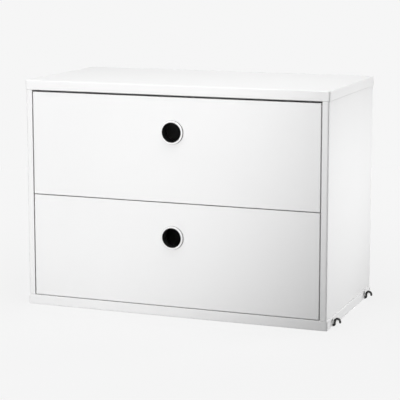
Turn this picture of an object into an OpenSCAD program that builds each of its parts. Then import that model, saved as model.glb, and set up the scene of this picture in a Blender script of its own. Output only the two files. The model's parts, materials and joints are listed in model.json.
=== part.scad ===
// Chest of two drawers that hangs between wall ladders or stands on its underside.
// Millimetres, +Z up. The front faces -Y and the origin is the middle of the underside.

/* [Carcass] */
// Width of the top and bottom boards
cabinet_w = 580; // [440:1:800]
// Depth from the front edges to the rear edges
cabinet_d = 300; // [280:1:400]
// Height from the underside to the top
cabinet_h = 420; // [380:1:560]
// Thickness of the top and bottom boards
board_t = 18; // [15:0.5:28]
// Thickness of the side panels
side_t = 12; // [12:0.5:22]
// How far the boards reach past the outer faces of the side panels
board_reach = 1.5; // [0:0.25:6]
// Thickness of the back panel
back_t = 6; // [3:0.5:10]
// Distance from the rear edges to the back panel
back_inset = 8; // [4:0.5:14]
// Depth of the grooves that hold the back panel
back_groove = 6; // [3:0.5:8]
// Play of a panel in its grooves
panel_play = 0.2; // [0.1:0.05:0.5]

/* [Drawer fronts] */
// Thickness of a drawer front
front_t = 18; // [15:0.5:24]
// Gap at the left and right of the drawer fronts
side_gap = 2.25; // [1:0.25:5]
// Gap between the upper front and the top board
top_gap = 3.25; // [1:0.25:5]
// Gap between two fronts, one above the other
middle_gap = 1.75; // [1:0.25:5]
// Gap between the lower front and the bottom board
bottom_gap = 1.5; // [1:0.25:5]
// Distance from a front's upper edge down to the middle of its finger hole
hole_drop = 62.5; // [40:0.5:90]

/* [Grip rings] */
// Bore that a finger goes through
ring_bore = 36; // [26:0.5:44]
// Wall of the sleeve that lines the hole
ring_wall = 1.5; // [1:0.25:3]
// How far the rim reaches past the sleeve
ring_rim = 2.25; // [1.5:0.25:6]
// How far the rim stands out of the front
ring_proud = 4; // [1.5:0.25:6]
// Rounding of the rim's outer edge
ring_round = 1.4; // [0.4:0.1:1.4]
// Play between the sleeve and its hole
ring_play = 0.1; // [0.05:0.05:0.4]

/* [Drawer boxes] */
// Thickness of the drawer walls
wall_t = 12; // [12:0.5:18]
// Height of the walls' lower edges above the front's lower edge
box_lift = 12; // [6:1:24]
// Distance of the walls' upper edges below the front's upper edge
box_drop = 26; // [10:1:40]
// Room between a closed drawer and the back panel
back_room = 8; // [4:1:20]
// Thickness of a drawer bottom
bottom_t = 6; // [4:0.5:9]
// Height of the drawer bottom above the walls' lower edges
bottom_lift = 10; // [6:0.5:14]
// Depth of the grooves that hold the drawer bottom
bottom_groove = 6; // [3:0.5:8]

/* [Runners] */
// Width of a runner, from the side panel to the drawer wall
runner_w = 12.7; // [12.5:0.1:16]
// Height of the cabinet rail
runner_h = 45; // [40:0.5:52]
// Height of the runner's middle above the walls' lower edges
runner_rise = 66; // [48:1:84]
// Distance from the rear face of the front to the rails
rail_setback = 4; // [1:0.5:10]
// Distance from the rails to the rear ends of the walls
rail_end = 6; // [1:0.5:12]
// Sheet thickness of the rails
rail_t = 1.2; // [1:0.1:1.5]
// Inside radius of the bends in the rails and cages
rail_bend = 1.5; // [0.5:0.1:1.8]
// Diameter of the holes in the middle rail that a screwdriver goes through
access_d = 9; // [7:0.5:12]
// Distance of the cabinet and middle rails' edges from the drawer wall
rail_edge = 1.5; // [1:0.1:2.5]
// Height of the lips that keep the balls in the cabinet rail
lip_h = 1; // [0.4:0.1:1.2]
// Running gap between the webs of the members
web_play = 0.5; // [0.4:0.05:0.6]
// Diameter of the balls
ball_d = 3; // [2.5:0.1:3.2]
// Running gap between a ball and each rail
ball_play = 0.3; // [0.3:0.05:0.4]
// Distance between the balls of a row
ball_pitch = 15; // [8:0.5:17]
// Number of balls in a row
ball_count = 6; // [3:1:6]
// Sheet thickness of the ball cages
cage_t = 0.6; // [0.4:0.1:0.7]
// Width of the cage strip past a ball
cage_margin = 0.8; // [0.4:0.1:1]
// Play of a ball in its cage
cage_play = 0.15; // [0.1:0.05:0.3]
// Distance from the front end of the rails to the closed cages
cage_start = 75; // [65:1:90]
// Length of the rubber stop at the back of a cabinet rail
stop_l = 6; // [3:0.5:10]
// Height of the rubber stop
stop_h = 24; // [16:1:32]
// Gap between the rubber stop and what meets it
stop_play = 0.3; // [0.2:0.05:0.6]

/* [Hooks] */
// Diameter of the hook wire
wire_d = 4; // [3:0.1:4.5]
// Clear width of a hook, for the ladder's rung
rung_gap = 5.8; // [4.5:0.1:7]
// Height of a hook's top above the underside
hook_h = 16.2; // [16:0.1:24]
// Height of a hook's tip above the underside
hook_tip = 6.2; // [3:0.1:7]
// Gap between a hook's leg and the end of the board
leg_gap = 0.8; // [0.2:0.1:6]
// Distance of the front hooks behind the front edges
hook_front = 39; // [20:1:80]
// Distance of the rear hooks from the rear edges
hook_rear = 42; // [20:1:80]
// Distance from a hook's leg to its prong
hook_run = 30; // [15:1:60]
// Height of the prong's top above the underside
prong_top = 13; // [9:0.5:14]
// Bend radius at the middle of the wire
hook_bend = 2.6; // [2.55:0.05:3]
// Gap between the wire and the board
hook_play = 0.2; // [0.1:0.05:0.4]
// Spare depth of the groove above the wire
groove_spare = 0.6; // [0.4:0.1:1]

/* [Fasteners] */
// Diameter of the wooden dowels
dowel_d = 6; // [4:0.5:8]
// Length of the wooden dowels
dowel_l = 24; // [16:1:32]
// Depth of a dowel in the face that it is set into
dowel_seat = 8; // [5:0.5:10]
// Glue gap around a dowel
dowel_play = 0.1; // [0.05:0.05:0.3]
// Dowels along each joint of the carcass
dowel_count = 3; // [2:1:5]
// Distance of the outer carcass dowels from the front edges and the back panel
dowel_inset = 40; // [20:1:70]
// Distance of a drawer's dowels from the walls' upper and lower edges
wall_dowel_inset = 32; // [24:1:44]
// Shank diameter of the runner screws
screw_d = 3.2; // [2.5:0.1:4]
// Length of a runner screw under its head
screw_l = 10; // [6:0.5:12]
// Head diameter of the runner screws
screw_head_d = 6.5; // [5.5:0.1:8]
// Head height of the runner screws
screw_head_h = 1.8; // [1.3:0.1:1.9]
// Gap between a screw and its hole
screw_play = 0.1; // [0.05:0.05:0.3]
// Screws along each rail
screw_count = 3; // [2:1:5]
// Distance of the outer screws from the ends of a rail
screw_inset = 20; // [12:1:40]
// Length of the cross recess in a screw head
recess_l = 3.6; // [2:0.1:4.5]
// Width of the cross recess in a screw head
recess_w = 0.8; // [0.4:0.1:1.2]
// Depth of the cross recess in a screw head
recess_depth = 1; // [0.5:0.1:1.2]

/* [Hidden] */
$fn = 64;
// Cuts reach this far past the face that they open
cut = 1;

// Carcass: outer faces, the opening between the boards, and the back panel
front_y = -cabinet_d / 2;
rear_y = cabinet_d / 2;
side_x = cabinet_w / 2 - board_reach;
open_x = side_x - side_t;
open_bottom = board_t;
open_top = cabinet_h - board_t;
back_rear = rear_y - back_inset;
back_face = back_rear - back_t;

// Drawers: level 0 is the lower one and level 1 the upper one
LEVELS = ["lower", "upper"];
front_w = 2 * (open_x - side_gap);
gaps_h = top_gap + bottom_gap + (len(LEVELS) - 1) * middle_gap;
front_h = (open_top - open_bottom - gaps_h) / len(LEVELS);
front_rear = front_y + front_t;
box_x = open_x - runner_w;
wall_x = box_x - wall_t;
wall_h = front_h - box_lift - box_drop;
wall_rear = back_face - back_room;
box_rear = wall_rear - wall_t;
ring_hole_r = ring_bore / 2 + ring_wall + ring_play;

// Runners: distances from the side panel, half heights of the flanges, and lengths
rail_y = front_rear + rail_setback;
runner_l = wall_rear - rail_end - rail_y;
member_l = runner_l - stop_l - stop_play;
outer_cage_r = rail_t + screw_head_h + web_play;
middle_r = outer_cage_r + cage_t + web_play;
inner_cage_r = middle_r + rail_t + web_play;
drawer_rail_r = inner_cage_r + cage_t + web_play;
edge_r = runner_w - rail_edge;
race_h = ball_d + 2 * ball_play;
cabinet_half = runner_h / 2;
middle_half = cabinet_half - rail_t - race_h;
drawer_half = middle_half - rail_t - race_h;
outer_ball_r = (middle_r + edge_r) / 2;
inner_ball_r = (drawer_rail_r + edge_r) / 2;
cage_l = ball_pitch * ball_count;

// Hooks: the wire's middle line
wire_r = wire_d / 2;
run_z = hook_play + wire_r;
leg_x = cabinet_w / 2 + leg_gap + wire_r;
arch_r = (rung_gap + wire_d) / 2;
arch_z = hook_h - wire_r - arch_r;
prong_x = leg_x - hook_run;
groove_top = hook_play + wire_d + groove_spare;
HOOK_PLACES = [["front", front_y + hook_front], ["rear", rear_y - hook_rear]];

SIDES = [["left", -1], ["right", 1]];

function front_z(level) = open_bottom + bottom_gap + level * (front_h + middle_gap);
function hole_z(level) = front_z(level) + front_h - hole_drop;
function wall_z(level) = front_z(level) + box_lift;
function bottom_z(level) = wall_z(level) + bottom_lift;
function runner_z(level) = wall_z(level) + runner_rise;
function spaced(first, last, count, k) = first + k * (last - first) / (count - 1);

// Shapes that several pieces share

// Block between two corners
module block(low, high) translate(low) cube(high - low);

// Round bars that start at a point and run along an axis
module bar_x(from, length, d) translate(from) rotate([0, 90, 0]) cylinder(d = d, h = length);
module bar_y(from, length, d) translate(from) rotate([-90, 0, 0]) cylinder(d = d, h = length);
module bar_z(from, length, d) translate(from) cylinder(d = d, h = length);

// Pieces are drawn on the right and mirrored to the left
module on_side(side) mirror([side < 0 ? 1 : 0, 0, 0]) children();

// Carcass

// Dowels of the four carcass joints, grown by the glue gap where they are holes
module carcass_dowel_set(grow = 0) {
    lower_start = open_bottom - dowel_seat;
    upper_start = open_top + dowel_seat - dowel_l;
    for (s = SIDES, k = [0 : dowel_count - 1], z = [lower_start, upper_start])
        on_side(s[1])
            bar_z([side_x - side_t / 2,
                   spaced(front_y + dowel_inset, back_face - dowel_inset, dowel_count, k),
                   z - grow], dowel_l + 2 * grow, dowel_d + 2 * grow);
}

// Space that the back panel's grooves take up in the four boards
module back_groove_space() {
    block([-open_x - back_groove, back_face, open_bottom - back_groove],
          [open_x + back_groove, back_rear + panel_play, open_top + back_groove]);
}

// Wire hook on the right, swept from its tip over the arch, down the leg, along the run and up the prong
module hook_wire(y) {
    translate([0, y, 0]) {
        translate([leg_x + 2 * arch_r, 0, hook_tip + wire_r]) sphere(d = wire_d);
        bar_z([leg_x + 2 * arch_r, 0, hook_tip + wire_r], arch_z - hook_tip - wire_r, wire_d);
        translate([leg_x + arch_r, 0, arch_z]) wire_bend(arch_r, 0, 180);
        bar_z([leg_x, 0, run_z + hook_bend], arch_z - run_z - hook_bend, wire_d);
        translate([leg_x - hook_bend, 0, run_z + hook_bend]) wire_bend(hook_bend, 270, 90);
        bar_x([prong_x + hook_bend, 0, run_z], hook_run - 2 * hook_bend, wire_d);
        translate([prong_x + hook_bend, 0, run_z + hook_bend]) wire_bend(hook_bend, 180, 90);
        bar_z([prong_x, 0, run_z + hook_bend], prong_top - run_z - hook_bend, wire_d);
    }
}

// Bend of the hook wire in the upright plane, turned from a start angle
module wire_bend(radius, start, angle)
    rotate([90, 0, 0]) rotate([0, 0, start]) rotate_extrude(angle = angle)
        translate([radius, 0]) circle(d = wire_d);

// Groove in the underside and blind hole for one hook
module hook_seat(y) {
    half = wire_r + hook_play;
    block([prong_x - half, y - half, -cut], [cabinet_w / 2 + cut, y + half, groove_top]);
    bar_z([prong_x, y, groove_top - cut], prong_top + hook_play - groove_top + cut, 2 * half);
}

module top_board() {
    color("white") difference() {
        block([-cabinet_w / 2, front_y, open_top], [cabinet_w / 2, rear_y, cabinet_h]);
        back_groove_space();
        carcass_dowel_set(dowel_play);
    }
}

module bottom_board() {
    color("white") difference() {
        block([-cabinet_w / 2, front_y, 0], [cabinet_w / 2, rear_y, open_bottom]);
        back_groove_space();
        carcass_dowel_set(dowel_play);
        for (s = SIDES, h = HOOK_PLACES) on_side(s[1]) hook_seat(h[1]);
    }
}

module side_panel(side) {
    color("white") difference() {
        on_side(side) block([open_x, front_y, open_bottom], [side_x, rear_y, open_top]);
        back_groove_space();
        carcass_dowel_set(dowel_play);
        for (level = [0, 1]) on_side(side) cabinet_screw_set(level, screw_play);
    }
}

module back_panel() {
    reach_x = open_x + back_groove - panel_play;
    reach_z = back_groove - panel_play;
    color("white")
        block([-reach_x, back_face, open_bottom - reach_z], [reach_x, back_rear, open_top + reach_z]);
}

module carcass_dowels() color("burlywood") carcass_dowel_set();

module hook(side, y) color("dimgray") on_side(side) hook_wire(y);

// Drawers

// Dowels of one drawer's four corners, grown by the glue gap where they are holes
module drawer_dowel_set(level, grow = 0) {
    low = wall_z(level) + wall_dowel_inset;
    high = wall_z(level) + wall_h - wall_dowel_inset;
    length = dowel_l + 2 * grow;
    d = dowel_d + 2 * grow;
    for (s = SIDES, z = [low, high]) on_side(s[1]) {
        bar_y([box_x - wall_t / 2, front_rear - dowel_seat - grow, z], length, d);
        bar_x([wall_x + dowel_seat - dowel_l - grow, wall_rear - wall_t / 2, z], length, d);
    }
}

// Space that the bottom's grooves take up in the front and the walls
module bottom_groove_space(level) {
    block([-wall_x - bottom_groove, front_rear - bottom_groove, bottom_z(level)],
          [wall_x + bottom_groove, box_rear + bottom_groove, bottom_z(level) + bottom_t + panel_play]);
}

module drawer_front(level) {
    color("white") difference() {
        block([-front_w / 2, front_y, front_z(level)],
              [front_w / 2, front_rear, front_z(level) + front_h]);
        bar_y([0, front_y - cut, hole_z(level)], front_t + 2 * cut, 2 * ring_hole_r);
        bottom_groove_space(level);
        drawer_dowel_set(level, dowel_play);
    }
}

// Sleeve through the front with a raised rim whose outer edge is rounded
module grip_ring(level) {
    sleeve_r = ring_bore / 2 + ring_wall;
    rim_r = sleeve_r + ring_rim;
    color("white") translate([0, front_y, hole_z(level)]) rotate([90, 0, 0]) rotate_extrude() {
        translate([ring_bore / 2, -front_t]) square([ring_wall, front_t]);
        translate([ring_bore / 2, 0]) square([rim_r - ring_bore / 2, ring_proud - ring_round]);
        translate([ring_bore / 2, 0]) square([rim_r - ring_round - ring_bore / 2, ring_proud]);
        intersection() {
            translate([rim_r - ring_round, ring_proud - ring_round]) circle(r = ring_round);
            translate([ring_bore / 2, 0]) square([rim_r - ring_bore / 2, ring_proud]);
        }
    }
}

module drawer_wall(level, side) {
    color("white") difference() {
        on_side(side)
            block([wall_x, front_rear, wall_z(level)], [box_x, wall_rear, wall_z(level) + wall_h]);
        bottom_groove_space(level);
        drawer_dowel_set(level, dowel_play);
        on_side(side) drawer_screw_set(level, screw_play);
    }
}

module drawer_back(level) {
    color("white") difference() {
        block([-wall_x, box_rear, wall_z(level)], [wall_x, wall_rear, wall_z(level) + wall_h]);
        bottom_groove_space(level);
        drawer_dowel_set(level, dowel_play);
    }
}

module drawer_bottom(level) {
    reach_x = wall_x + bottom_groove - panel_play;
    reach_y = bottom_groove - panel_play;
    color("white") block([-reach_x, front_rear - reach_y, bottom_z(level)],
                         [reach_x, box_rear + reach_y, bottom_z(level) + bottom_t]);
}

module drawer_dowels(level) color("burlywood") drawer_dowel_set(level);

// Runners

// Screw that points along +X, with its head's seat at the origin and a cross recess in its head
module screw() {
    bar_x([0, 0, 0], screw_l, screw_d);
    difference() {
        bar_x([-screw_head_h, 0, 0], screw_head_h, screw_head_d);
        for (turn = [0, 90]) rotate([turn, 0, 0])
            block([-screw_head_h - cut, -recess_l / 2, -recess_w / 2],
                  [-screw_head_h + recess_depth, recess_l / 2, recess_w / 2]);
    }
}

// Shank hole of a screw, as deep as the screw and its play
module screw_hole(grow) bar_x([-cut, 0, 0], screw_l + grow + cut, screw_d + 2 * grow);

function screw_y(k) = rail_y + spaced(screw_inset, member_l - screw_inset, screw_count, k);

// Screws of the right cabinet rail, or their holes where a gap is given
module cabinet_screw_set(level, grow = 0) {
    for (k = [0 : screw_count - 1])
        translate([open_x - rail_t, screw_y(k), runner_z(level)])
            if (grow > 0) screw_hole(grow);
            else screw();
}

// Screws of the right drawer rail, or their holes where a gap is given
module drawer_screw_set(level, grow = 0) {
    for (k = [0 : screw_count - 1])
        translate([box_x + rail_t, screw_y(k), runner_z(level)]) mirror([1, 0, 0])
            if (grow > 0) screw_hole(grow);
            else screw();
}

module cabinet_rail_screws()
    color("silver") for (s = SIDES, level = [0, 1]) on_side(s[1]) cabinet_screw_set(level);

module drawer_rail_screws(level)
    color("silver") for (s = SIDES) on_side(s[1]) drawer_screw_set(level);

// Length of a runner profile on the right, drawn from the side panel and the runner's middle
module runner_length(level, start, length)
    translate([open_x, rail_y + start + length, runner_z(level)])
        mirror([1, 0, 0]) rotate([90, 0, 0]) linear_extrude(length) children();

// Rectangle with rounded corners, from two squares and four circles
module rounded_rectangle(low, high, r) {
    translate([low[0] + r, low[1]]) square([high[0] - low[0] - 2 * r, high[1] - low[1]]);
    translate([low[0], low[1] + r]) square([high[0] - low[0], high[1] - low[1] - 2 * r]);
    for (x = [low[0] + r, high[0] - r], y = [low[1] + r, high[1] - r]) translate([x, y]) circle(r = r);
}

// Channel outline of bent sheet, with its web at the low end and its mouth at the high end
module channel(low, high, half, t) {
    past = rail_bend + t;
    difference() {
        rounded_rectangle([low, -half], [high + past, half], past);
        rounded_rectangle([low + t, t - half], [high + past + rail_bend, half - t], rail_bend);
        translate([high, -half - cut]) square([past + cut, 2 * (half + cut)]);
    }
}

module cabinet_rail(level, side) {
    color("silver") difference() {
        on_side(side) runner_length(level, 0, runner_l) {
            channel(0, edge_r, cabinet_half, rail_t);
            for (up = [-1, 1])
                translate([edge_r - rail_t, up * (cabinet_half - rail_t - lip_h / 2) - lip_h / 2])
                    square([rail_t, lip_h]);
        }
        on_side(side) cabinet_screw_set(level, screw_play);
    }
}

module middle_rail(level, side) {
    color("silver") on_side(side) difference() {
        runner_length(level, 0, member_l) channel(middle_r, edge_r, middle_half, rail_t);
        for (k = [0 : screw_count - 1])
            bar_x([open_x - middle_r - rail_t - cut, screw_y(k), runner_z(level)],
                  rail_t + 2 * cut, access_d);
    }
}

module drawer_rail(level, side) {
    color("silver") difference() {
        on_side(side) runner_length(level, 0, member_l)
            translate([runner_w, 0]) mirror([1, 0])
                channel(0, runner_w - drawer_rail_r, drawer_half, rail_t);
        on_side(side) drawer_screw_set(level, screw_play);
    }
}

// Cage of two strips joined by a web, with a row of balls in each strip
module ball_cage(level, side, web_r, ball_r, rail_half) {
    row_z = rail_half + race_h / 2;
    strip_end = ball_r + ball_d / 2 + cage_margin;
    color("gray") on_side(side) {
        difference() {
            runner_length(level, cage_start, cage_l)
                channel(web_r, strip_end, row_z + cage_t / 2, cage_t);
            ball_places(level, ball_r, row_z)
                bar_z([0, 0, -race_h / 2], race_h, ball_d + 2 * cage_play);
        }
        ball_places(level, ball_r, row_z) sphere(d = ball_d);
    }
}

module ball_places(level, ball_r, row_z) {
    for (k = [0 : ball_count - 1], up = [-1, 1])
        translate([open_x - ball_r,
                   rail_y + cage_start + (k + 0.5) * ball_pitch,
                   runner_z(level) + up * row_z])
            children();
}

module outer_cage(level, side) ball_cage(level, side, outer_cage_r, outer_ball_r, middle_half);

module inner_cage(level, side) ball_cage(level, side, inner_cage_r, inner_ball_r, drawer_half);

// Rubber stops in the back ends of both cabinet rails
module rail_stops(level) {
    color("dimgray") for (s = SIDES) on_side(s[1])
        block([box_x + stop_play, rail_y + runner_l - stop_l, runner_z(level) - stop_h / 2],
              [open_x - rail_t, rail_y + runner_l, runner_z(level) + stop_h / 2]);
}

top_board();
bottom_board();
back_panel();
carcass_dowels();
cabinet_rail_screws();
for (s = SIDES) {
    side_panel(s[1]);
    for (h = HOOK_PLACES)
        hook(s[1], h[1]);
}
for (level = [0, 1]) {
    name = LEVELS[level];
    drawer_front(level);
    grip_ring(level);
    drawer_back(level);
    drawer_bottom(level);
    drawer_dowels(level);
    drawer_rail_screws(level);
    rail_stops(level);
    for (s = SIDES) {
        place = str(name, "_", s[0], "_");
        drawer_wall(level, s[1]);
        cabinet_rail(level, s[1]);
        outer_cage(level, s[1]);
        middle_rail(level, s[1]);
        inner_cage(level, s[1]);
        drawer_rail(level, s[1]);
    }
}
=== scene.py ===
"""Looks of the chest of two drawers: rounded lacquered boards, drawers on ball runners, and wire hooks."""
import json
import math

import bmesh
import bpy
import numpy as np
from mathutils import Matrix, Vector


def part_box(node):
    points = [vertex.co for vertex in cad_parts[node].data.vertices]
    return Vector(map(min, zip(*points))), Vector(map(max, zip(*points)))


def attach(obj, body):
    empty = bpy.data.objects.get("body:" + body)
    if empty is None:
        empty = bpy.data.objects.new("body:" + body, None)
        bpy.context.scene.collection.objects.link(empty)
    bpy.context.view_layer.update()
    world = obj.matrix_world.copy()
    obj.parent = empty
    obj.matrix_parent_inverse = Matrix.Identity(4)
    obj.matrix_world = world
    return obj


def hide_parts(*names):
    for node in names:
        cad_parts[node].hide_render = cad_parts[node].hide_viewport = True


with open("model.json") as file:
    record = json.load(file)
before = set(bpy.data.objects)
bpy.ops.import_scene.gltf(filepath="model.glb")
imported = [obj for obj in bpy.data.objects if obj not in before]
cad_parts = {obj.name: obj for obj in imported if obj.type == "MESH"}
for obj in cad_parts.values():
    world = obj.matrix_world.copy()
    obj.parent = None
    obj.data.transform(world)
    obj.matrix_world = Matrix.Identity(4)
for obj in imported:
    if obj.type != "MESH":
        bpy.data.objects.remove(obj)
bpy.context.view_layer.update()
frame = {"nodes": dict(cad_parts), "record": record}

MM = 0.001
LEVELS = ("lower", "upper")
SIDES = ("left", "right")
HOOK_ENDS = ("front", "rear")

# Rounding of the pieces: an edge goes round a face, and a corner is one of the outline's own
BOARD_EDGE = 1.5 * MM
BOARD_CORNER = 3.4 * MM
SIDE_EDGE = 0.3 * MM
SIDE_OUTER = 3.4 * MM
SIDE_INNER = 0.6 * MM
FRONT_EDGE = 0.5 * MM
FRONT_CORNER = 0.8 * MM
PANEL_EDGE = 0.5 * MM
PANEL_CORNER = 0.7 * MM
ROUND_STEPS = 5                  # faces in a quarter round
SHARP_ANGLE = math.radians(50)   # a sharper bend than this isn't smoothed
WELD = 0.001 * MM                # points closer than this become one
LEAST_SLOPE = 1e-9               # keeps a ray that runs along a wall from dividing by zero

# Grip rings: the frame gives their reach, and these are the sizes inside it
RING_BORE = 36 * MM
RING_WALL = 1.5 * MM        # of the sleeve
RING_LIP = 0.7 * MM         # rounding from the bore to the rim
RING_ROUND = 1.4 * MM       # rounding of the rim's outer edge
RING_PLAY = 0.1 * MM        # between the sleeve and the front's hole
BORE_SHADE_START = 0.2 * MM     # behind the lip, where the bore's painted shade starts
RIM_SHADE_BAND = 0.4 * MM         # width of the painted shade on the rim's outer wall, from the rim's reach inwards
RING_COLUMNS = 96

# Hooks: the frame gives their reach, and these are the sizes inside it
RUNG_GAP = 5.8 * MM         # clear width under the arch
HOOK_TIP = 6.2 * MM         # height of the tip's lowest point
HOOK_BEND = 2.6 * MM        # radius of the bends, at the wire's middle
HOOK_PLAY = 0.2 * MM        # between the wire and its groove
PRONG_TOP = 13 * MM
GROOVE_TOP = 4.8 * MM
TIP_START = 6               # degrees from the tip's pole to its first row
ARCH_STEPS = 4 * ROUND_STEPS
BEND_STEPS = 2 * ROUND_STEPS
WIRE_COLUMNS = 24

# Camera of the photograph: its place is in metres, and its lens and sensor are in millimetres
CAMERA_PLACE = (0.9882, -2.6064, 0.6823)
CAMERA_PITCH = math.radians(8.801)
CAMERA_TURN = math.radians(20.836)
CAMERA_LENS = 135.35
CAMERA_SENSOR = 36
CAMERA_SHIFT = -0.08

# Light levels: the pale surroundings that are seen, and what lights the object
BACKDROP = 0.921
AMBIENT = 0.1
FLOOR_SIZE = 12             # metres across
FLOOR_DROP = 0.2 * MM       # below the underside
FLOOR_BOUNCE = 0.45         # what the floor gives back to the object
FLOOR_SHADE = 0.16          # how much of the lamps' light, and so of the shadow, it shows
FLOOR_FADE = 0.55           # distance in metres over which that fades


# Surfaces

def skin(name, points, ring=False):
    """Object over a grid of points, rows by columns by xyz.

    Each cell of the grid is one face, and the last column joins the first. The last row joins the first too
    where ring is set, and otherwise one face closes each end. Points that meet are welded into one.
    """
    rows, columns = points.shape[:2]
    row = np.arange(rows if ring else rows - 1)[:, None]
    column = np.arange(columns)[None, :]
    next_row = (row + 1) % rows
    next_column = (column + 1) % columns
    corners = np.broadcast_arrays(row * columns + column, row * columns + next_column,
                                  next_row * columns + next_column, next_row * columns + column)
    faces = np.stack(corners, -1).reshape(-1, 4).tolist()
    if not ring:
        faces.append(np.arange(columns)[::-1].tolist())
        faces.append(np.arange((rows - 1) * columns, rows * columns).tolist())
    mesh = bpy.data.meshes.new(name)
    mesh.from_pydata(points.reshape(-1, 3).tolist(), [], faces)
    shape = bmesh.new()
    shape.from_mesh(mesh)
    bmesh.ops.remove_doubles(shape, verts=shape.verts, dist=WELD)
    bmesh.ops.recalc_face_normals(shape, faces=shape.faces)
    shape.to_mesh(mesh)
    shape.free()
    mesh.shade_smooth()
    mesh.set_sharp_from_angle(angle=SHARP_ANGLE)
    piece = bpy.data.objects.new(name, mesh)
    bpy.context.scene.collection.objects.link(piece)
    shading = piece.modifiers.new("even_shading", "WEIGHTED_NORMAL")
    shading.keep_sharp = True
    return piece


def rounded_outline(half, corner):
    """Points of a rectangle with rounded corners, once round, and the outward direction of each.

    A point is its arc's middle plus the corner's radius times its direction. The corner is one radius, or
    four in the order of the quadrants.
    """
    quarter = np.linspace(0, math.pi / 2, ROUND_STEPS + 1)
    angles = (np.arange(4)[:, None] * math.pi / 2 + quarter).ravel()
    directions = np.stack([np.cos(angles), np.sin(angles)], -1)
    signs = np.repeat([[1, 1], [-1, 1], [-1, -1], [1, -1]], ROUND_STEPS + 1, axis=0)
    radius = np.repeat(np.broadcast_to(corner, 4), ROUND_STEPS + 1)[:, None]
    return signs * (half - radius) + radius * directions, directions


def rounded_rows(low, high, edge):
    """Places along a board's thickness, and how far the outline draws in at each.

    Both follow a quarter circle at each end: the edge times the tilt's sine, and the edge times 1 less its
    cosine.
    """
    quarter = np.linspace(0, math.pi / 2, ROUND_STEPS + 1)
    tilt = np.concatenate([quarter - math.pi / 2, quarter])
    seat = np.repeat([low + edge, high - edge], ROUND_STEPS + 1)
    return seat + edge * np.sin(tilt), edge * (1 - np.cos(tilt))


def carried(axes, places, reach, outline, directions):
    """Grid of points: an outline carried along one axis, grown along its directions by each row's reach."""
    thin, first, second = axes
    flat = outline + reach[:, None, None] * directions
    points = np.empty((len(places), len(outline), 3))
    points[..., thin] = places[:, None]
    points[..., first] = flat[..., 0]
    points[..., second] = flat[..., 1]
    return points


def slab(name, low, high, edge, corner, axis=None):
    """Board with rounded edges: its rounded outline is carried along an axis, or else its thickness."""
    low, high = np.array(low), np.array(high)
    thin = int(np.argmin(high - low)) if axis is None else axis
    axes = (thin, (thin + 1) % 3, (thin + 2) % 3)
    across = list(axes[1:])
    outline, directions = rounded_outline((high - low)[across] / 2, corner)
    places, inset = rounded_rows(low[thin], high[thin], edge)
    return skin(name, carried(axes, places, -inset, outline + (low + high)[across] / 2, directions))


def slotted_slab(name, low, high, edge, corner, slots, slot_half, slot_depth, slot_top):
    """Board with rounded edges and slots in its underside that open at its left and right ends.

    Up to the slots' tops the outline goes round every slot, and above them it runs straight past.
    """
    low, high = np.array(low), np.array(high)
    plain, directions = rounded_outline((high - low)[:2] / 2, corner)
    plain = plain + (low + high)[:2] / 2
    places, inset = rounded_rows(low[2], high[2], edge)

    def end(side, inner):
        """Outline points of one end's slots, in the outline's order: mouth, floor, floor, mouth.

        Above the slots the floor's points lie on the straight end, half way from the middle to the mouth.
        """
        order = side * np.sort(side * np.array(slots))
        spread = np.array([-1, -1, 1, 1] if inner else [-1, -0.5, 0.5, 1])
        y = (order[:, None] + side * spread * slot_half).ravel()
        floor = np.tile([False, inner, inner, False], len(slots))
        floor_x = side * (high[0] - slot_depth)
        points = np.stack([np.where(floor, floor_x, side * high[0]), y], -1)
        push = np.stack([np.where(floor, 0, side), np.zeros(len(y))], -1)
        return points, push

    def outline(inner):
        """The whole outline: the left end follows the second corner and the right end follows the last."""
        left, left_push = end(-1, inner)
        right, right_push = end(1, inner)
        cut = len(plain) // 2
        return (np.concatenate([plain[:cut], left, plain[cut:], right]),
                np.concatenate([directions[:cut], left_push, directions[cut:], right_push]))

    half = len(places) // 2
    axes = (2, 0, 1)
    low_places, low_inset = np.append(places[:half], slot_top), np.append(inset[:half], 0)
    high_places, high_inset = np.append(slot_top, places[half:]), np.append(0, inset[half:])
    below = carried(axes, low_places, -low_inset, *outline(True))
    above = carried(axes, high_places, -high_inset, *outline(False))
    return skin(name, np.concatenate([below, above]))


def pierced_slab(name, low, high, edge, corner, hole, hole_radius):
    """Upright board with a round hole through it.

    Every column leaves the hole at one angle, crosses the front face to the outline at that same angle,
    goes over the rounded edges and comes back across the rear face and along the hole's wall.
    """
    low, high = np.array(low), np.array(high)
    across = [0, 2]
    limit = (high - low)[across] / 2 - corner
    centre = (low + high)[across] / 2
    rounded, directions = rounded_outline((high - low)[across] / 2, corner)
    corners = rounded + centre - hole
    angles = np.linspace(-math.pi, math.pi, RING_COLUMNS, endpoint=False)
    rays = np.stack([np.cos(angles), np.sin(angles)], -1)
    walls = np.where(rays > 0, high[across] - hole, hole - low[across])
    spans = walls / np.maximum(np.abs(rays), LEAST_SLOPE)
    wall = np.argmin(spans, -1)
    hits = hole + rays * spans.min(-1)[:, None]
    normals = np.eye(2)[wall] * np.sign(rays)
    straight = np.clip(hits - corner * normals - centre, -limit, limit) + corner * normals
    all_angles = np.concatenate([angles, np.arctan2(corners[:, 1], corners[:, 0])])
    order = np.argsort(all_angles)
    outline = np.concatenate([straight, rounded])[order] + centre
    directions = np.concatenate([normals, directions])[order]
    turns = all_angles[order]
    spokes = np.stack([np.cos(turns), np.sin(turns)], -1)
    places, inset = rounded_rows(low[1], high[1], edge)
    axes = (1, 0, 2)
    outside = carried(axes, places, -inset, outline, directions)
    hole_places = np.array([high[1], high[1] - edge, low[1] + edge, low[1]])
    hole_reach = hole_radius + np.array([edge, 0, 0, edge])
    hole_middles = np.broadcast_to(hole, spokes.shape)
    inside = carried(axes, hole_places, hole_reach, hole_middles, spokes)
    return skin(name, np.concatenate([outside, inside]), ring=True)


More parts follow.
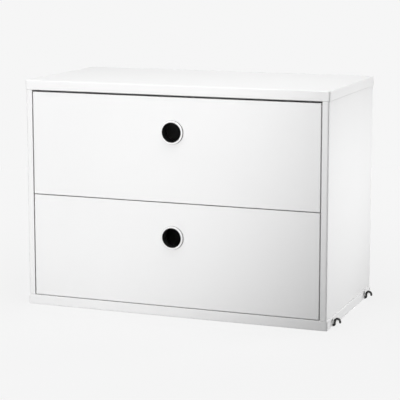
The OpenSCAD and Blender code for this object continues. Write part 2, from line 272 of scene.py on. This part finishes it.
def arc(middle, radius, start, end):
    """Points of a circular arc in a plane, from one angle to another in degrees."""
    turn = np.radians(np.linspace(start, end, ROUND_STEPS + 1))
    return np.array(middle) + radius * np.stack([np.cos(turn), np.sin(turn)], -1)


def mark(piece, name, chosen):
    """Adds an attribute that is 1 at the chosen points of a piece and 0 at the others."""
    marks = piece.data.attributes.new(name, "FLOAT", "POINT")
    marks.data.foreach_set("value", chosen.astype(np.float32))


def grip_ring(name, low, high, hole, face):
    """Sleeve with a raised rim, turned from a closed profile of radius and depth.

    The profile runs forward along the bore, over the lip, across the rim, round its outer edge down to the
    front's face, in to the sleeve and back along it. Two attributes mark where shade is painted: near black
    on the bore behind the lip, and grey on the rim's outer wall.
    """
    bore = RING_BORE / 2
    sleeve = bore + RING_WALL
    rim = (high[0] - low[0]) / 2
    lip_depth = low[1] + RING_LIP
    profile = np.concatenate([
        [[bore, high[1]], [bore, lip_depth + BORE_SHADE_START]],
        arc((bore + RING_LIP, lip_depth), RING_LIP, 180, 270),
        arc((rim - RING_ROUND, low[1] + RING_ROUND), RING_ROUND, 270, 360),
        [[rim, face], [sleeve, face], [sleeve, high[1]]],
    ])
    turn = np.linspace(0, 2 * math.pi, RING_COLUMNS, endpoint=False)
    spokes = np.stack([np.cos(turn), np.sin(turn)], -1)
    middles = np.broadcast_to(hole, spokes.shape)
    piece = skin(name, carried((1, 0, 2), profile[:, 1], profile[:, 0], middles, spokes), ring=True)
    places = np.empty(len(piece.data.vertices) * 3)
    piece.data.vertices.foreach_get("co", places)
    places = places.reshape(-1, 3)
    radius = np.hypot(places[:, 0] - hole[0], places[:, 2] - hole[1])
    # Painted shade: the bore behind the lip is marked to be near black
    mark(piece, "painted_bore_shade", (radius < bore + BORE_SHADE_START) & (places[:, 1] > lip_depth + BORE_SHADE_START / 2))
    # Painted shade: the rim's outer wall is marked to be grey
    mark(piece, "painted_rim_shade", radius > rim - RIM_SHADE_BAND)
    return piece


def wire_hook(name, low, high, side):
    """Bent wire: a circle carried along a path in the upright plane, drawn on the right and mirrored.

    Each row has its place on the path, the angle of the path's normal and the wire's radius there. The path
    starts at the rounded tip and goes over the arch, down the leg, along the run and up the prong.
    """
    wire = (high[1] - low[1]) / 2
    outer = max(abs(low[0]), abs(high[0]))
    inner = min(abs(low[0]), abs(high[0]))
    arch = RUNG_GAP / 2 + wire
    tip_x = outer - wire
    leg_x = tip_x - 2 * arch
    prong_x = inner + wire
    run_z = low[2] + wire
    arch_z = high[2] - wire - arch
    bend_z = run_z + HOOK_BEND
    pole = np.radians(np.linspace(TIP_START, 90, ROUND_STEPS + 1))
    tip = np.stack([np.full(len(pole), tip_x), HOOK_TIP + wire - wire * np.cos(pole),
                    np.zeros(len(pole)), wire * np.sin(pole)], -1)
    over = np.radians(np.linspace(0, 180, ARCH_STEPS + 1))
    quarter = np.radians(np.linspace(0, 90, BEND_STEPS + 1))
    full = np.full(len(quarter), wire)
    arch_rows = np.stack([leg_x + arch + arch * np.cos(over), arch_z + arch * np.sin(over), over,
                          np.full(len(over), wire)], -1)
    heel = np.stack([leg_x - HOOK_BEND + HOOK_BEND * np.cos(quarter), bend_z - HOOK_BEND * np.sin(quarter),
                     math.pi - quarter, full], -1)
    toe = np.stack([prong_x + HOOK_BEND - HOOK_BEND * np.sin(quarter), bend_z - HOOK_BEND * np.cos(quarter),
                    math.pi / 2 - quarter, full], -1)
    prong = [[prong_x, PRONG_TOP, 0, wire]]
    path = np.concatenate([tip, arch_rows, heel, toe, prong])
    x, z, tilt, radius = np.split(path, 4, axis=1)
    turn = np.linspace(0, 2 * math.pi, WIRE_COLUMNS, endpoint=False)
    across = radius * np.cos(turn)
    points = np.empty((len(path), len(turn), 3))
    points[..., 0] = side * (x + across * np.cos(tilt))
    points[..., 1] = (low[1] + high[1]) / 2 + radius * np.sin(turn)
    points[..., 2] = z + across * np.sin(tilt)
    return skin(name, points)


# Finishes

# Places of a Mix node's colour sockets, whose names its number sockets have too
MIX_SHARE, MIX_FIRST, MIX_SECOND, MIX_RESULT = 0, 6, 7, 2


class Socket:
    """Output socket of a node; operators between sockets and numbers add Math nodes."""

    def __init__(self, finish, output):
        self.finish = finish
        self.output = output

    def math(self, operation, first, second):
        """Adds a Math node, where one of the two is this socket."""
        return self.finish.node("ShaderNodeMath", {"operation": operation}, {0: first, 1: second})

    def __add__(self, other):
        return self.math("ADD", self, other)

    def __radd__(self, other):
        return self.math("ADD", other, self)

    def __sub__(self, other):
        return self.math("SUBTRACT", self, other)

    def __rsub__(self, other):
        return self.math("SUBTRACT", other, self)

    def __mul__(self, other):
        return self.math("MULTIPLY", self, other)

    def __rmul__(self, other):
        return self.math("MULTIPLY", other, self)

    def __pow__(self, other):
        return self.math("POWER", self, other)

    def __rpow__(self, other):
        return self.math("POWER", other, self)


class Finish:
    """Node tree of one material or of the world."""

    def __init__(self, owner):
        owner.use_nodes = True
        self.tree = owner.node_tree
        self.tree.nodes.clear()

    def node(self, kind, settings=None, sockets=None, output=0):
        """Adds a node with its settings first, then the values or links of its sockets."""
        made = self.tree.nodes.new(kind)
        for name, value in (settings or {}).items():
            setattr(made, name, value)
        for name, value in (sockets or {}).items():
            if isinstance(value, Socket):
                self.tree.links.new(value.output, made.inputs[name])
            else:
                made.inputs[name].default_value = value
        if not made.outputs:
            return None
        return Socket(self, made.outputs[output])

    def place(self, stretch=(1, 1, 1)):
        """Object coordinates in metres, stretched along each axis."""
        coordinates = self.node("ShaderNodeTexCoord", output="Object")
        return self.node("ShaderNodeMapping", {}, {"Vector": coordinates, "Scale": stretch})

    def noise(self, size, detail=2.0, stretch=(1, 1, 1)):
        """Noise from 0 to 1 whose features measure about the given size in metres."""
        return self.node("ShaderNodeTexNoise", {}, {"Vector": self.place(stretch), "Scale": 1 / size,
                                                    "Detail": detail, "Roughness": 0.5})

    def blend(self, share, first, second):
        """Colour that goes from the first to the second with the share."""
        sockets = {MIX_SHARE: share, MIX_FIRST: first, MIX_SECOND: second}
        return self.node("ShaderNodeMix", {"data_type": "RGBA"}, sockets, output=MIX_RESULT)

    def bump(self, height, depth):
        """Normal of a surface that rises by the depth in metres where the height goes from 0 to 1."""
        return self.node("ShaderNodeBump", {}, {"Height": height, "Distance": depth, "Strength": 1.0})

    def surface(self, **sockets):
        """Principled surface whose sockets are named with underscores, as the tree's result."""
        titles = [name.replace("_", " ").title().replace("Ior", "IOR") for name in sockets]
        shader = self.node("ShaderNodeBsdfPrincipled", {}, dict(zip(titles, sockets.values())))
        self.node("ShaderNodeOutputMaterial", {}, {"Surface": shader})


def grey(value, warmth=0.0):
    """Linear colour of a neutral tone, with its blue lowered by the warmth."""
    return (value, value, value * (1 - warmth), 1)


def new_finish(name):
    """Empty material, and the finish that builds its nodes."""
    material = bpy.data.materials.new(name)
    return material, Finish(material)


def white_lacquer():
    """Sprayed satin lacquer: an even white with a fine orange peel and slightly uneven gloss."""
    material, f = new_finish("white_lacquer")
    cloud = f.noise(160 * MM)
    peel = f.noise(2.6 * MM, detail=1.0)
    f.surface(base_color=f.blend(cloud, grey(0.875), grey(0.9)), roughness=0.44 + 0.1 * f.noise(30 * MM),
              normal=f.bump(peel, depth=0.012 * MM), specular_ior_level=0.4)
    return material


def drawer_melamine():
    """White melamine of the drawer boxes: a pearled print under a satin film."""
    material, f = new_finish("drawer_melamine")
    pearl = f.noise(0.9 * MM, detail=3.0)
    cloud = f.noise(90 * MM)
    f.surface(base_color=f.blend(cloud, grey(0.8, 0.015), grey(0.84, 0.015)), roughness=0.4 + 0.15 * pearl,
              normal=f.bump(pearl, depth=0.02 * MM))
    return material


def ring_plastic():
    """Moulded white plastic with painted shade: near black in the bore, and grey on the rim's outer wall."""
    material, f = new_finish("ring_plastic")
    painted_bore_shade = f.node("ShaderNodeAttribute", {"attribute_name": "painted_bore_shade"}, output="Fac")
    wall = f.node("ShaderNodeAttribute", {"attribute_name": "painted_rim_shade"}, output="Fac")
    grain = f.noise(0.6 * MM)
    white = f.blend(f.noise(12 * MM), grey(0.86), grey(0.89))
    # Painted shade: grey on the rim's outer wall
    pale = f.blend(wall, white, grey(0.42))
    # Painted shade: near black and matt in the bore
    f.surface(base_color=f.blend(painted_bore_shade, pale, grey(0.006)), roughness=0.34 + 0.3 * painted_bore_shade + 0.08 * grain,
              normal=f.bump(grain, depth=0.008 * MM))
    return material


def hook_coating():
    """Dark coated steel wire with a fine grain and slightly worn gloss."""
    material, f = new_finish("hook_coating")
    wear = f.noise(3 * MM, detail=4.0)
    f.surface(base_color=f.blend(wear, grey(0.03), grey(0.06)), metallic=0.85, roughness=0.3 + 0.2 * wear,
              normal=f.bump(f.noise(0.5 * MM), depth=0.01 * MM))
    return material


def zinc_sheet(name, dark, light, roughness):
    """Zinc-plated rolled sheet: cloudy tones and fine rolling lines along the runner."""
    material, f = new_finish(name)
    cloud = f.noise(9 * MM, detail=4.0)
    lines = f.noise(0.7 * MM, detail=2.0, stretch=(1, 0.02, 1))
    f.surface(base_color=f.blend(cloud, grey(dark), grey(light)), metallic=1.0,
              roughness=roughness + 0.12 * lines + 0.08 * cloud, normal=f.bump(lines, depth=0.006 * MM))
    return material


def beech():
    """Plain beech: long pale grain with short dark flecks."""
    material, f = new_finish("beech")
    grain = f.noise(1.2 * MM, detail=3.0, stretch=(1, 1, 0.15))
    fleck = f.noise(0.5 * MM, detail=1.0, stretch=(1, 1, 0.2)) ** 4
    wood = f.blend(grain, (0.5, 0.3, 0.15, 1), (0.62, 0.41, 0.23, 1))
    f.surface(base_color=f.blend(fleck, wood, (0.3, 0.16, 0.08, 1)), roughness=0.6 + 0.15 * grain)
    return material


def stop_rubber():
    """Matt black rubber with a fine moulded grain."""
    material, f = new_finish("stop_rubber_grain")
    grain = f.noise(0.8 * MM, detail=3.0)
    f.surface(base_color=f.blend(grain, grey(0.022), grey(0.04)), roughness=0.7 + 0.2 * grain,
              normal=f.bump(grain, depth=0.03 * MM))
    return material


FINISHES = {
    "lacquer": white_lacquer(),
    "drawer_panel": drawer_melamine(),
    "ring_plastic": ring_plastic(),
    "hook_metal": hook_coating(),
    "runner_steel": zinc_sheet("zinc_rail", dark=0.5, light=0.68, roughness=0.26),
    "cage_steel": zinc_sheet("cage_sheet", dark=0.38, light=0.5, roughness=0.32),
    "screw_steel": zinc_sheet("zinc_screw", dark=0.48, light=0.6, roughness=0.24),
    "dowel_wood": beech(),
    "stop_rubber": stop_rubber(),
}


# Pieces

BODY_OF = {node: body for body, nodes in frame["record"]["behaviour"]["bodies"].items() for node in nodes}


def dress(node, piece):
    """Puts a finished piece in a node's place, on the node's body and in the node's finish."""
    slot = frame["nodes"][node].material_slots[0].material.name
    piece.data.materials.append(FINISHES[slot])
    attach(piece, BODY_OF[node])
    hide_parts(node)


def finished(node):
    """Name of the piece that stands for a node."""
    return f"{node}_finished"


dress("top_board", slab(finished("top_board"), *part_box("top_board"), BOARD_EDGE, BOARD_CORNER))
SIDE_CORNERS = {"left_side": (SIDE_INNER, SIDE_OUTER, SIDE_OUTER, SIDE_INNER),
                "right_side": (SIDE_OUTER, SIDE_INNER, SIDE_INNER, SIDE_OUTER)}
for node, corners in SIDE_CORNERS.items():
    dress(node, slab(finished(node), *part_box(node), SIDE_EDGE, corners, axis=2))
dress("back_panel", slab(finished("back_panel"), *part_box("back_panel"), PANEL_EDGE, PANEL_CORNER))

HOOKS = {(side, end): f"{side}_{end}_hook" for side in SIDES for end in HOOK_ENDS}
hook_low, hook_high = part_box(HOOKS["right", "front"])
board_low, board_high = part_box("bottom_board")
groove_half = (hook_high[1] - hook_low[1]) / 2 + HOOK_PLAY
groove_depth = board_high[0] - hook_low[0] + HOOK_PLAY
hook_boxes = [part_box(HOOKS["right", end]) for end in HOOK_ENDS]
hook_rows = [(low + high)[1] / 2 for low, high in hook_boxes]
bottom_board = slotted_slab(finished("bottom_board"), board_low, board_high, BOARD_EDGE, BOARD_CORNER,
                            hook_rows, groove_half, groove_depth, GROOVE_TOP)
dress("bottom_board", bottom_board)

for (side, end), node in HOOKS.items():
    dress(node, wire_hook(finished(node), *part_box(node), 1 if side == "right" else -1))

hole_radius = RING_BORE / 2 + RING_WALL + RING_PLAY
for level in LEVELS:
    front, ring = f"{level}_front", f"{level}_grip_ring"
    ring_low, ring_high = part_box(ring)
    front_low, front_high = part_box(front)
    hole = np.array([(ring_low[0] + ring_high[0]) / 2, (ring_low[2] + ring_high[2]) / 2])
    dress(front, pierced_slab(finished(front), front_low, front_high, FRONT_EDGE, FRONT_CORNER,
                              hole, hole_radius))
    dress(ring, grip_ring(finished(ring), ring_low, ring_high, hole, front_low[1]))
    for part in ("left_wall", "right_wall", "back_wall", "bottom"):
        node = f"{level}_{part}"
        dress(node, slab(finished(node), *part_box(node), PANEL_EDGE, PANEL_CORNER))

# Every node takes the finish of its slot, so those that no piece stands for are finished too
for node in frame["nodes"].values():
    for slot in node.material_slots:
        slot.material = FINISHES[slot.material.name]


# Camera, floor and light

def seen_rays(f):
    """1 for camera, mirror and glass rays, which see the pale backdrop, and 0 for those that give light."""
    path = "ShaderNodeLightPath"
    camera = f.node(path, output="Is Camera Ray")
    glossy = f.node(path, output="Is Glossy Ray")
    glass = f.node(path, output="Is Transmission Ray")
    return f.node("ShaderNodeClamp", {}, {"Value": camera + glossy + glass})


def make_camera():
    """Camera that looks a little down on the chest from the front right, as the photograph does."""
    lens = bpy.data.cameras.new("camera")
    lens.sensor_width = CAMERA_SENSOR
    lens.lens = CAMERA_LENS
    lens.shift_y = CAMERA_SHIFT
    camera = bpy.data.objects.new("camera", lens)
    camera.location = CAMERA_PLACE
    camera.rotation_euler = (math.pi / 2 - CAMERA_PITCH, 0, CAMERA_TURN)
    bpy.context.scene.collection.objects.link(camera)
    bpy.context.scene.camera = camera


def make_world():
    """World that is seen as the pale backdrop and gives only a dim, even light."""
    world = bpy.data.worlds.new("studio")
    bpy.context.scene.world = world
    f = Finish(world)
    light = f.node("ShaderNodeBackground", {}, {"Color": grey(AMBIENT), "Strength": 1.0})
    seen = f.node("ShaderNodeBackground", {}, {"Color": grey(BACKDROP), "Strength": 1.0})
    mixed = f.node("ShaderNodeMixShader", {}, {0: seen_rays(f), 1: light, 2: seen})
    f.node("ShaderNodeOutputWorld", {}, {"Surface": mixed})


def make_floor():
    """Pale floor that keeps the soft shadow near the object and fades into the backdrop's tone.

    It glows in the backdrop's tone, less a share that fades with distance, and reflects that share of the
    lamps' light. So it is darker where the object keeps the light off.
    """
    half = FLOOR_SIZE / 2
    mesh = bpy.data.meshes.new("floor")
    corners = [(x * half, y * half, -FLOOR_DROP) for x, y in ((-1, -1), (1, -1), (1, 1), (-1, 1))]
    mesh.from_pydata(corners, [], [(0, 1, 2, 3)])
    floor = bpy.data.objects.new("floor", mesh)
    bpy.context.scene.collection.objects.link(floor)
    material, f = new_finish("pale_floor")
    distance = f.node("ShaderNodeVectorMath", {"operation": "LENGTH"}, {0: f.place((1 / FLOOR_FADE,) * 3)},
                      output="Value")
    near = math.e ** (-1 * distance ** 2)
    seen = seen_rays(f)
    shade = FLOOR_SHADE * near
    glow = seen * (BACKDROP - shade)
    albedo = seen * shade + (1 - seen) * FLOOR_BOUNCE
    f.surface(base_color=f.blend(albedo, grey(0), grey(1)), roughness=1.0, specular_ior_level=0.0,
              emission_color=f.blend(glow, grey(0), grey(1)), emission_strength=1.0)
    mesh.materials.append(material)


def aim(lamp, place, target):
    """Puts a lamp at a place, facing a target, unseen by the camera."""
    lamp.location = place
    lamp.rotation_euler = (Vector(target) - Vector(place)).to_track_quat("-Z", "Y").to_euler()
    lamp.visible_camera = False
    bpy.context.scene.collection.objects.link(lamp)


def make_spot(name, place, target, radius, cone, softness, power):
    """Round lamp whose beam fades towards its edge: metres, the cone's whole angle in degrees, and watts."""
    light = bpy.data.lights.new(name, "SPOT")
    light.shadow_soft_size = radius
    light.spot_size = math.radians(cone)
    light.spot_blend = softness
    light.energy = power
    aim(bpy.data.objects.new(name, light), place, target)


def make_panel(name, place, target, size, power):
    """Square soft lamp: its place and size in metres, and its power in watts."""
    light = bpy.data.lights.new(name, "AREA")
    light.size = size
    light.energy = power
    aim(bpy.data.objects.new(name, light), place, target)


make_camera()
make_world()
make_floor()
make_spot("front_lamp", place=(-0.5, -2.6, 0.4), target=(-0.24, -0.15, 0.45),
          radius=0.14, cone=37.3, softness=0.83, power=163.5)
make_spot("right_lamp", place=(1.85, 1.6, 0.36), target=(0.29, -0.05, 0.2),
          radius=0.35, cone=27, softness=0.95, power=208)
make_panel("top_lamp", place=(0.05, -0.3, 1.75), target=(-0.05, 0, 0.42), size=1.4, power=22)
make_spot("rear_lamp", place=(-1.85, 1.7, 0.2), target=(-0.1, 0.05, 0.2),
          radius=0.2, cone=30, softness=0.95, power=120)

bpy.context.scene.view_settings.view_transform = "Standard"
